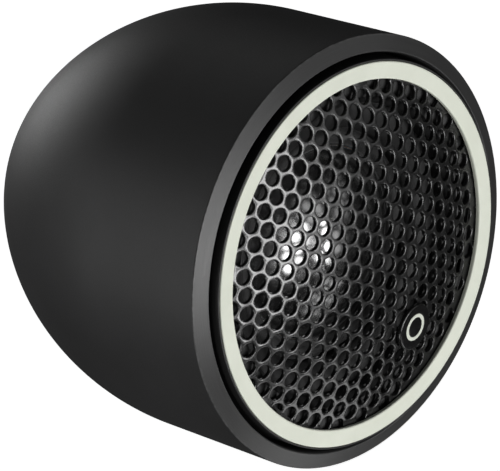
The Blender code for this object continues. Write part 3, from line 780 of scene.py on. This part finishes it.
def j_slot(angle, skirt_end):
    """Cutter for one slot of the twist lock, bent round the skirt."""
    slot = LOCK_PIN_RADIUS + LOCK_CLEARANCE
    half = math.degrees(slot / LOCK_PIN_REACH)
    low, high, entry = angle - LOCK_TURN - half, angle + half, angle - LOCK_TURN + half
    front, rear = LOCK_DEPTH - slot, LOCK_DEPTH + slot
    along = [low + (high - low) * i / 12 for i in range(13)]
    outline = [(a, front) for a in along] + [(a, rear) for a in reversed(along) if a > entry]
    outline += [(entry, rear), (entry, skirt_end + 1), (low, skirt_end + 1)]

    def wrap(degrees, depth, radius):
        x, z = on_circle(radius, degrees)
        return at(x, depth, z)

    reach = (SKIRT_INNER_RADIUS - 0.5, extent("front_bezel")[0] + 0.5)
    return prism("j_slot", outline, *reach, wrap)


def make_trim_ring():
    outer, front, rear = extent("trim_ring")
    outline = [
        (RING_INNER_RADIUS, front, 0.16),
        (outer, front, 0.13),
        (outer, rear, 0.05),
        (RING_INNER_RADIUS, rear, 0.05),
    ]
    trim = turned("trim_ring_fine", outline, FINE)
    dress(trim, "tweeter_module", cream_plastic(), "trim_ring")


def grille_depth(radius):
    """Depth of the grille's front face: a shallow dome with a flat edge under the trim ring."""
    edge = extent("grille")[2] - GRILLE_THICKNESS
    share = min(radius / GRILLE_EDGE_RADIUS, 1)
    return edge - GRILLE_RISE * (1 - share * share)


def grille_normal(place):
    """Unit vector into the sheet at (X, Z)."""
    fade = min(max((GRILLE_RADIUS_FLAT - place.length) / 1.6, 0), 1)
    slope = 2 * GRILLE_RISE / GRILLE_EDGE_RADIUS**2 * fade
    return Vector((-place.x * slope, 1, -place.y * slope)).normalized()


def hole_centres():
    """Holes in rows 60 degrees apart, as (X, Z), out to the last circle of centres."""
    turned_row = HOLE_ROW_ANGLE + math.radians(60)
    across = Vector((math.cos(HOLE_ROW_ANGLE), math.sin(HOLE_ROW_ANGLE))) * HOLE_PITCH
    along = Vector((math.cos(turned_row), math.sin(turned_row))) * HOLE_PITCH
    reach = range(-22, 23)
    centres = (HOLE_AT + across * i + along * j for i in reach for j in reach)
    return [centre for centre in centres if centre.length < LAST_HOLE_RADIUS]


def polygon(centre, radius, sides, start=0.0):
    turns = [start + 2 * math.pi * i / sides for i in range(sides)]
    return [centre + Vector((math.cos(t), math.sin(t))) * radius for t in turns]


def hole_profile():
    """How a hole's edge runs from the front face to the rear: (radius, distance into sheet)."""
    steps = 4
    arc = [math.pi / 2 * i / steps for i in range(steps + 1)]
    front = [
        (HOLE_RADIUS + HOLE_LIP * (1 - math.sin(t)), HOLE_LIP * (1 - math.cos(t))) for t in arc
    ]
    burr = HOLE_LIP / 2
    return front + [
        (HOLE_RADIUS, GRILLE_THICKNESS - burr),
        (HOLE_RADIUS + burr / 3, GRILLE_THICKNESS - burr / 3),
        (HOLE_RADIUS + HOLE_LIP, GRILLE_THICKNESS),
    ]


def cell_boundary(centre):
    """The points round the six-sided cell of one hole, four to a side."""
    corners = polygon(centre, HOLE_PITCH / math.sqrt(3), 6, HOLE_ROW_ANGLE + math.radians(30))
    return [corners[k].lerp(corners[(k + 1) % 6], j / 4) for k in range(6) for j in range(4)]


def inside_cell(offset):
    """Whether a point this far from a hole's centre lies in its six-sided cell."""
    turns = [HOLE_ROW_ANGLE + math.radians(60 * k) for k in range(3)]
    sides = [abs(offset.x * math.cos(t) + offset.y * math.sin(t)) for t in turns]
    return max(sides) < HOLE_PITCH / 2


def add_sheet_rows(bm, rows):
    """Joins closed rows of (place, distance into the sheet) with faces, one row to the next."""
    verts = [[bm.verts.new(sheet_point(place, into)) for place, into in row] for row in rows]
    for row, following in zip(verts, verts[1:]):
        for i in range(len(row)):
            j = (i + 1) % len(row)
            bm.faces.new((row[i], row[j], following[j], following[i]))


def sheet_point(place, into):
    """A point of the grille at (X, Z), this far behind its front face."""
    surface = at(place.x, grille_depth(place.length), place.y)
    return surface + grille_normal(place) * into * MM


def make_grille():
    """Perforated sheet pressed into a dome: round holes with rolled-in front edges."""
    radius = extent("grille")[0]
    profile = hole_profile()
    centres = hole_centres()
    whole = [c for c in centres if c.length + HOLE_PITCH / math.sqrt(3) < radius - 0.1]
    bm = bmesh.new()
    for centre in centres:
        boundary = cell_boundary(centre)
        arms = [(point - centre).normalized() for point in boundary]
        rows = [[(centre + arm * reach, into) for arm in arms] for reach, into in profile]
        if centre in whole:
            rows.insert(0, [(point, 0) for point in boundary])
            rows.append([(point, GRILLE_THICKNESS) for point in boundary])
        add_sheet_rows(bm, rows)

    rim = polygon(Vector((0, 0)), radius, FINE)
    faces = (0, GRILLE_THICKNESS)
    add_sheet_rows(bm, [[(point, into) for point in rim] for into in faces])
    points = list(rim)
    edges = [(i, (i + 1) % FINE) for i in range(FINE)]
    lip = HOLE_RADIUS + HOLE_LIP
    for centre in centres:
        boundary = cell_boundary(centre)
        if centre not in whole:
            first = len(points)
            points += [centre + (point - centre).normalized() * lip for point in boundary]
            edges += [(first + i, first + (i + 1) % 24) for i in range(24)]
            continue
        for k in range(6):
            turn = HOLE_ROW_ANGLE + math.radians(60 * (k + 1))
            beyond = centre + Vector((math.cos(turn), math.sin(turn))) * HOLE_PITCH
            if not any((beyond - other).length < HOLE_PITCH / 2 for other in whole):
                first = len(points)
                points += [boundary[(4 * k + j) % 24] for j in range(5)]
                edges += [(first + j, first + j + 1) for j in range(4)]
    flat, _, triangles, *_ = delaunay_2d_cdt(points, edges, [], 0, 1e-4)
    cut_short = [c for c in centres if c not in whole]
    inside_loop = 0.985 * lip  # a lip is a 24-sided loop, and its triangles lie within this
    verts = {into: [bm.verts.new(sheet_point(point, into)) for point in flat] for into in faces}
    for a, b, c in triangles:
        middle = (flat[a] + flat[b] + flat[c]) / 3
        in_hole = any((middle - centre).length < inside_loop for centre in cut_short)
        if in_hole or any(inside_cell(middle - centre) for centre in whole):
            continue
        bm.faces.new([verts[0][i] for i in (a, b, c)])
        bm.faces.new([verts[GRILLE_THICKNESS][i] for i in (c, b, a)])
    bmesh.ops.remove_doubles(bm, verts=bm.verts[:], dist=0.003 * MM)
    loose = [v for v in bm.verts if not v.link_faces]
    bmesh.ops.delete(bm, geom=loose, context="VERTS")
    grille = piece_from("grille_fine", bm)
    dress(grille, "tweeter_module", grille_paint(), "grille")


def make_badge():
    """A round badge on the slope of the grille, with a plain ring let into its face."""
    distance = BADGE_AT.length
    lift = 0.12
    seat = at(BADGE_AT.x, grille_depth(distance) - lift, BADGE_AT.y)
    tilt = grille_normal(BADGE_AT).to_track_quat("Y", "Z").to_matrix().to_4x4()
    face = -BADGE_THICKNESS
    inner, outer = BADGE_GROOVE
    groove_floor = face + 0.2
    outline = [
        (0, 0),
        (BADGE_RADIUS, 0, 0.08),
        (BADGE_RADIUS, face, 0.2),
        (outer, face, 0.04),
        (outer, groove_floor),
        (inner, groove_floor),
        (inner, face, 0.04),
        (0, face),
    ]
    badge = turned("badge_disc_fine", outline, MEDIUM)
    gap = 0.03
    inlay = turned(
        "badge_ring_fine",
        ring(inner + gap, outer - gap, face - 0.02, groove_floor - SEAT_GAP, 0.05),
        MEDIUM,
    )
    to_seat = Matrix.Translation(seat) @ tilt @ Matrix.Translation((0, -FRONT, 0))
    for piece in (badge, inlay):
        piece.data.transform(to_seat)
    dress(badge, "tweeter_module", badge_plastic(), "badge_disc")
    dress(inlay, "tweeter_module", badge_inlay(), "badge_ring")


# ---- Module inside ----


def make_faceplate():
    radius, front, rear_of_spigot = extent("faceplate")
    steps = 12
    flare = []
    for i in range(steps + 1):
        turn = math.pi / 2 * i / steps
        flare.append((
            FLARE_RADIUS - (FLARE_RADIUS - THROAT_RADIUS) * math.sin(turn),
            THROAT_DEPTH - (THROAT_DEPTH - PLATE_FRONT_DEPTH) * math.cos(turn),
        ))
    bore = extent("yoke_cup")[0] + 0.1
    lip_rear = extent("dome")[2] - SEAT_GAP
    plate = turned(
        "faceplate_fine",
        flare
        + [
            (THROAT_RADIUS, lip_rear, 0.1),
            (bore, lip_rear),
            (bore, rear_of_spigot, 0.15),
            (bore + SPIGOT_WALL, rear_of_spigot, 0.3),
            (bore + SPIGOT_WALL, PLATE_REAR_DEPTH, 0.15),
            (radius, PLATE_REAR_DEPTH, 0.2),
            (radius, front, 0.2),
        ],
    )
    inner, outer, slot_front, slot_rear = LEAD_SLOT
    corners = [(inner, slot_front), (outer, slot_front), (outer, slot_rear), (inner, slot_rear)]
    tools = [blade("slot", side, corners, 0.6) for side in (-1, 1)]
    tools += [screw_hole(angle, front, PLATE_REAR_DEPTH) for angle in SCREW_ANGLES]
    carve(plate, *tools)
    dress(plate, "tweeter_module", faceplate_plastic(), "faceplate")


def blade(name, side, corners, half_width):
    """A piece or cutter on one side, with its corners as (distance from the axis, depth)."""

    def place(distance, depth, z):
        return at(side * distance, depth, z)

    return prism(name, corners, -half_width, half_width, place)


def screw_hole(angle, front, rear):
    return hole_tool(*on_circle(SCREW_CIRCLE, angle), front, rear, 0.95, 0.15)


def make_diaphragm():
    radius, apex, rim = extent("dome")
    ball = (radius**2 + DOME_HEIGHT**2) / (2 * DOME_HEIGHT)
    centre = apex + ball

    def cap(size, steps):
        edge = math.acos((centre - rim) / size)
        turns = [edge * i / steps for i in range(steps + 1)]
        return [(size * math.sin(t), centre - size * math.cos(t)) for t in turns]

    outline = cap(ball, 36) + list(reversed(cap(ball - DOME_THICKNESS, 24)))
    dome = turned("dome_fine", outline, FINE)
    dress(dome, "diaphragm", dome_film(), "dome")

    _, front, end = extent("voice_coil_former")
    outline = ring(FORMER_INNER_RADIUS, FORMER_OUTER_RADIUS, front, end, 0.02)
    former = turned("voice_coil_former_fine", outline, FINE)
    dress(former, "diaphragm", aluminium_foil(), "voice_coil_former")


def make_voice_coil():
    """Round wire wound turn by turn: the outside of the winding is a row of half rounds."""
    outer, front, rear = extent("voice_coil")
    inner = FORMER_OUTER_RADIUS + SEAT_GAP
    wire = (rear - front) / COIL_TURNS / 2
    outline = [(inner, front), (inner, rear)]
    for turn in range(COIL_TURNS):
        middle = rear - wire * (2 * turn + 1)
        for i in range(7):
            angle = math.pi * (0.08 + 0.84 * i / 6)
            outline.append((outer - wire + wire * math.sin(angle), middle + wire * math.cos(angle)))
    coil = turned("voice_coil_fine", outline, MEDIUM)
    dress(coil, "diaphragm", copper_wire(), "voice_coil")


def make_surround():
    """Half-roll suspension, with its flat landings."""
    landing, start, end, outer = SURROUND_RADII
    half = SURROUND_THICKNESS / 2
    middle = extent("surround")[2] - half

    def roll(offset):
        steps = 20
        reach, rise = (end - start) / 2 + offset, SURROUND_ROLL + offset
        waist = (start + end) / 2
        arc = [math.pi * i / steps for i in range(steps + 1)]
        return [(waist - reach * math.cos(t), middle - offset - rise * math.sin(t)) for t in arc]

    front = [(landing, middle - half)] + roll(half) + [(outer, middle - half)]
    rear = [(landing, middle + half)] + roll(-half) + [(outer, middle + half)]
    surround = turned("surround_fine", front + list(reversed(rear)), FINE)
    dress(surround, "tweeter_module", surround_fabric(), "surround")

    radius, ring_front, ring_rear = extent("diaphragm_ring")
    outline = ring(YOKE_INNER_RADIUS + 0.2, radius, ring_front, ring_rear, 0.1)
    carrier = turned("diaphragm_ring_fine", outline)
    corners = [(11, 6.1), (13.2, 6.1), (13.2, 7), (11, 7)]  # room for a lead-out
    tools = [blade("slot", side, corners, 0.5) for side in (-1, 1)]
    carve(carrier, *tools)
    material = bpy.data.materials["faceplate_plastic"]
    dress(carrier, "tweeter_module", material, "diaphragm_ring")


def make_motor():
    radius, rim, back = extent("yoke_cup")
    outline = [
        (0, YOKE_FLOOR_DEPTH),
        (YOKE_INNER_RADIUS, YOKE_FLOOR_DEPTH, 0.3),
        (YOKE_INNER_RADIUS, rim, 0.15),
        (radius, rim, 0.25),
        (radius, back, 0.8),
        (0, back),
    ]
    yoke = turned("yoke_cup_fine", outline)
    dress(yoke, "tweeter_module", plated_steel(), "yoke_cup")
    plain = (
        ("magnet", 0.35, "nickel_plate", nickel_plate),
        ("pole_plate", 0.2, "plated_steel", None),
        ("motor_pad", 0.15, "foam", None),
    )
    for node, fillet, slot, make in plain:
        radius, front, rear = extent(node)
        piece = turned(f"{node}_fine", disc(radius, front, rear, fillet))
        material = make() if make else bpy.data.materials[slot]
        dress(piece, "tweeter_module", material, node)


def make_damping_felt():
    """A felt disc with a fuzzy, slightly uneven surface."""
    radius, front, rear = extent("damping_felt")
    rings = [(radius * i / 24, front) for i in range(24)]
    outline = rings + [(radius, front, 0.25), (radius, rear, 0.2), (0, rear)]
    pad = turned("damping_felt_fine", outline)
    for vertex in pad.data.vertices:
        if vertex.co.y < FRONT + (front + 0.3) * MM:
            fuzz = noise.noise(vertex.co / (0.5 * MM))
            vertex.co.y += (0.02 + 0.04 * max(fuzz, -0.4)) * MM
    dress(pad, "tweeter_module", felt(), "damping_felt")


def make_rear_cup():
    radius, front, back = extent("rear_cup")
    outline = [
        (CUP_INNER_RADIUS, front, 0.2),
        (radius, front, 0.2),
        (radius, CUP_FLANGE_REAR, 0.3),
        (CUP_OUTER_RADIUS, CUP_FLANGE_REAR, 0.4),
        (CUP_OUTER_RADIUS, back, 0.6),
        (0, back),
        (0, CUP_FLOOR_DEPTH),
        (CUP_INNER_RADIUS, CUP_FLOOR_DEPTH, 0.5),
    ]
    cup = turned("rear_cup_fine", outline)
    tools = [screw_hole(angle, front, CUP_FLANGE_REAR) for angle in SCREW_ANGLES]
    tools += terminal_slots(CUP_FLOOR_DEPTH - 1, back + 1)
    carve(cup, *tools)
    material = bpy.data.materials["faceplate_plastic"]
    dress(cup, "tweeter_module", material, "rear_cup")


def terminal_slots(front, rear):
    gap = 0.15
    near = TERMINAL_X - TERMINAL_THICKNESS / 2 - gap
    far = TERMINAL_X + TERMINAL_THICKNESS / 2 + gap
    corners = [(near, front), (far, front), (far, rear), (near, rear)]
    return [blade("slot", side, corners, terminal_width() / 2 + gap) for side in (-1, 1)]


def terminal_width():
    low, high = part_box("terminal_positive")
    return (high.z - low.z) / MM


def bevel(piece, width):
    """Rounds every sharp edge of the piece."""
    piece.modifiers.clear()
    rounding = piece.modifiers.new("rounding", "BEVEL")
    rounding.width = width * MM
    rounding.segments = 3
    rounding.limit_method = "ANGLE"
    rounding.angle_limit = SHARP_ANGLE
    rounding.harden_normals = True
    piece.data.shade_smooth()


def make_terminals():
    """Fibre board with two bent tabs. Each tab's end is chamfered for the push-on connector."""
    low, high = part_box("terminal_board")
    half_width, half_height = high.x / MM, high.z / MM
    front, rear = (low.y - FRONT) / MM, (high.y - FRONT) / MM
    signs = ((-1, -1), (1, -1), (1, 1), (-1, 1))
    outline = rounded([(across * half_width, up * half_height, 1.2) for across, up in signs])
    board = prism("terminal_board_fine", outline, front, rear, facing)
    carve(board, *terminal_slots(front - 1, rear + 1))
    bevel(board, 0.08)
    dress(board, "tweeter_module", fibre_board(), "terminal_board")

    inner, outer = TERMINAL_X - TERMINAL_THICKNESS / 2, TERMINAL_X + TERMINAL_THICKNESS / 2
    tab_front, tab_end = extent("terminal_positive")[1:]
    foot_front = rear + SEAT_GAP
    foot_rear = foot_front + TERMINAL_THICKNESS
    side_view = [
        (inner, tab_front),
        (outer, tab_front),
        (outer, tab_end),
        (inner, tab_end),
        (inner, foot_rear, 0.3),
        (inner - 3, foot_rear, 0.12),
        (inner - 3, foot_front, 0.12),
        (inner, foot_front),
    ]
    side_view = rounded(side_view)
    half = terminal_width() / 2
    chamfer, over = 0.9, 0.2
    cuts = [polygon(Vector((tab_end - 1.6, 0)), 0.6, SMALL)]
    for end in (-1, 1):
        cuts.append([
            (tab_end - chamfer, end * (half + over)),
            (tab_end + over, end * (half - chamfer)),
            (tab_end + over, end * (half + over)),
        ])
    brass = brass_tab()
    for name, side in (("terminal_positive", 1), ("terminal_negative", -1)):

        def through(depth, z, x, side=side):
            return at(side * x, depth, z)

        tab = blade(f"{name}_fine", side, side_view, half)
        carve(tab, *[prism("cut", cut, inner - 1, outer + 1, through) for cut in cuts])
        bevel(tab, 0.06)
        dress(tab, "tweeter_module", brass, name)


def make_lead_wires():
    """The coil's two lead-outs, laid over the yoke and back to the terminals."""
    over_yoke = [(10.7, 6.45), (12.2, 6.4), (13.5, 6.7)]
    beside_yoke = [(13.95, 7.7), (13.85, 9.4), (13.4, 11.2)]
    route = over_yoke + beside_yoke + [(TERMINAL_X, YOKE_FLOOR_DEPTH + 0.3)]
    material = bpy.data.materials["copper_wire"]
    for node, side in (("lead_wire_positive", 1), ("lead_wire_negative", -1)):
        curve = bpy.data.curves.new(f"{node}_fine", "CURVE")
        curve.dimensions = "3D"
        curve.bevel_depth = WIRE_RADIUS * MM
        curve.bevel_resolution = 6
        curve.use_fill_caps = True
        spline = curve.splines.new("BEZIER")
        spline.resolution_u = 10
        spline.bezier_points.add(len(route) - 1)
        for point, (distance, depth) in zip(spline.bezier_points, route):
            point.co = at(side * distance, depth, 0)
            point.handle_left_type = point.handle_right_type = "AUTO"
        wire = bpy.data.objects.new(f"{node}_fine", curve)
        bpy.context.scene.collection.objects.link(wire)
        dress(wire, "tweeter_module", material, node)


def make_module_screws():
    """Pan-head screws with a cut thread and a cross recess."""
    _, tip, _ = extent("module_screw_1")
    head_front = CUP_FLANGE_REAR + SEAT_GAP
    head_rear = head_front + SCREW_HEAD_HEIGHT
    length, width = RECESS_ARM
    material = screw_steel()
    for number, angle in enumerate(SCREW_ANGLES, 1):
        centre = on_circle(SCREW_CIRCLE, angle)
        screw = threaded(f"module_screw_{number}_fine", centre, tip, head_front, head_rear)
        arms = []
        for turn in (20, 110):
            along = Vector(on_circle(length, turn))
            aside = Vector(on_circle(width, turn + 90))
            middle = Vector(centre)
            outline = [
                middle + along + aside,
                middle - along + aside,
                middle - along - aside,
                middle + along - aside,
            ]
            arms.append(prism("arm", outline, head_rear - RECESS_DEPTH, head_rear + 1, facing))
        carve(screw, *arms)
        dress(screw, "tweeter_module", material, f"module_screw_{number}")


def threaded(name, centre, tip, head_front, head_rear):
    """One turned body whose shank radius rises and falls along a helix."""
    segments, rows_per_turn = 36, 8
    turns = [2 * math.pi * i / segments for i in range(segments)]
    shank_end = head_front - 0.25

    def shank_radius(turn, depth):
        phase = ((depth - tip) / THREAD_PITCH - turn / (2 * math.pi)) % 1
        crest = max(0.0, 1 - abs(2 * phase - 1) * 1.8)
        fade = min(1.0, (depth - tip) / 0.9, (shank_end - depth) / 0.3 + 0.01)
        point = min(1.0, 0.35 + (depth - tip) / 0.8)
        return (SCREW_CORE_RADIUS + THREAD_HEIGHT * crest * max(fade, 0)) * point

    bm = bmesh.new()
    rows = [[bm.verts.new(around(centre, 0, 0, tip))] * segments]
    count = round((shank_end - tip) / THREAD_PITCH * rows_per_turn)
    for k in range(1, count + 1):
        depth = tip + (shank_end - tip) * k / count
        rows.append([bm.verts.new(around(centre, shank_radius(t, depth), t, depth)) for t in turns])
    head = rounded([
        (SCREW_NECK_RADIUS, head_front - 0.1),
        (SCREW_NECK_RADIUS, head_front, 0.03),
        (SCREW_HEAD_RADIUS, head_front, 0.08),
        (SCREW_HEAD_RADIUS, head_front + 0.55, 0.3),
        (0.9, head_rear, 0.4),
        (0.3, head_rear),
    ])
    for radius, depth in head:
        rows.append([bm.verts.new(around(centre, radius, t, depth)) for t in turns])
    rows.append([bm.verts.new(around(centre, 0, 0, head_rear))] * segments)
    for row, following in zip(rows, rows[1:]):
        for i in range(segments):
            j = (i + 1) % segments
            face = dict.fromkeys((row[i], row[j], following[j], following[i]))
            bm.faces.new(list(face))
    return piece_from(name, bm)


# ---- Studio ----

CAMERA_AZIMUTH = math.radians(-46.4)
CAMERA_ELEVATION = math.radians(18.72)
CAMERA_DISTANCE = 1.0
CAMERA_OFFSET = (-0.01092, 0.00198)  # right and up from the trim ring's centre
LENS = 711.7

BOX, STRIP = (0.3, 0.3), (0.12, 0.4)
LIGHT_DISTANCE = 0.8
LIGHTS = (  # name, azimuth, elevation, size, watts
    ("front right strip", 22, -9, STRIP, 1.6),
    ("front low strip", -8, -12, STRIP, 1.5),
    ("front strip", 2, -4, STRIP, 1.2),
    ("left low", -120, -12, BOX, 1.0),
    ("left rear", -135, 12, BOX, 0.6),
    ("left below", -70, -42, BOX, 1.6),
    ("right below", 45, -45, BOX, 0.6),
    ("right low", 30, -12, BOX, 0.3),
    ("front high", 15, 12, BOX, 0.3),
    ("right high", 45, 12, BOX, 0.2),
    ("top rear", 150, 50, BOX, 0.2),
    ("rear", 170, 10, BOX, 1.2),
)


def view_axes(azimuth, elevation):
    """(right, up, back) of a camera that looks at the object from there."""
    back = Vector((
        math.sin(azimuth) * math.cos(elevation),
        -math.cos(azimuth) * math.cos(elevation),
        math.sin(elevation),
    ))
    right = Vector((math.cos(azimuth), math.sin(azimuth), 0))
    return right, back.cross(right), back


def make_camera():
    right, up, back = view_axes(CAMERA_AZIMUTH, CAMERA_ELEVATION)
    data = bpy.data.cameras.new("camera")
    data.lens = LENS
    data.sensor_width = 36
    data.clip_start, data.clip_end = 0.05, 20
    camera = bpy.data.objects.new("camera", data)
    bpy.context.scene.collection.objects.link(camera)
    aim = Vector((0, FRONT, 0)) + right * CAMERA_OFFSET[0] + up * CAMERA_OFFSET[1]
    camera.location = aim + back * CAMERA_DISTANCE
    camera.rotation_euler = Matrix((right, up, back)).transposed().to_euler()
    bpy.context.scene.camera = camera


def make_floor():
    gap = 0.0002
    bm = bmesh.new()
    bmesh.ops.create_grid(bm, x_segments=2, y_segments=2, size=3)
    bmesh.ops.translate(bm, verts=bm.verts[:], vec=(0, 0, CAD_BOUNDS[0].z - gap))
    floor = piece_from("floor", bm)
    floor.data.materials.append(floor_paper())
    # Several lamps stand below the floor, which must not shade or brighten the object.
    floor.visible_shadow = floor.visible_diffuse = floor.visible_glossy = False


def softbox(name, azimuth, elevation, size, power):
    """An area light that faces the object from that direction. size is (width, height)."""
    right, up, back = view_axes(math.radians(azimuth), math.radians(elevation))
    light = bpy.data.lights.new(name, "AREA")
    light.shape = "RECTANGLE"
    light.size, light.size_y = size
    light.energy = power
    lamp = bpy.data.objects.new(name, light)
    bpy.context.scene.collection.objects.link(lamp)
    lamp.location = Vector((0, FRONT / 2, 0)) + back * LIGHT_DISTANCE
    lamp.rotation_euler = Matrix((right, up, back)).transposed().to_euler()
    lamp.visible_camera = False


def make_lights():
    for light in LIGHTS:
        softbox(*light)
    bpy.context.scene.world = studio_world()
    bpy.context.scene.view_settings.view_transform = "Standard"


def studio_world():
    """White where the camera sees it, nearly dark where the object does."""
    world = bpy.data.worlds.new("studio")
    world.use_nodes = True
    nodes, links = world.node_tree.nodes, world.node_tree.links
    path = nodes.new("ShaderNodeLightPath")
    strength = nodes.new("ShaderNodeMapRange")
    strength.inputs["To Min"].default_value = 0.012
    strength.inputs["To Max"].default_value = 1.0
    background = nodes["Background"]
    background.inputs["Color"].default_value = (1, 1, 1, 1)
    links.new(path.outputs["Is Camera Ray"], strength.inputs["Value"])
    links.new(strength.outputs["Result"], background.inputs["Strength"])
    return world


def main():
    make_pod()
    make_rear_fixing()
    make_module_seal()
    make_bezel()
    make_trim_ring()
    make_grille()
    make_badge()
    make_faceplate()
    make_diaphragm()
    make_voice_coil()
    make_surround()
    make_motor()
    make_damping_felt()
    make_rear_cup()
    make_terminals()
    make_lead_wires()
    make_module_screws()
    make_camera()
    make_floor()
    make_lights()


main()
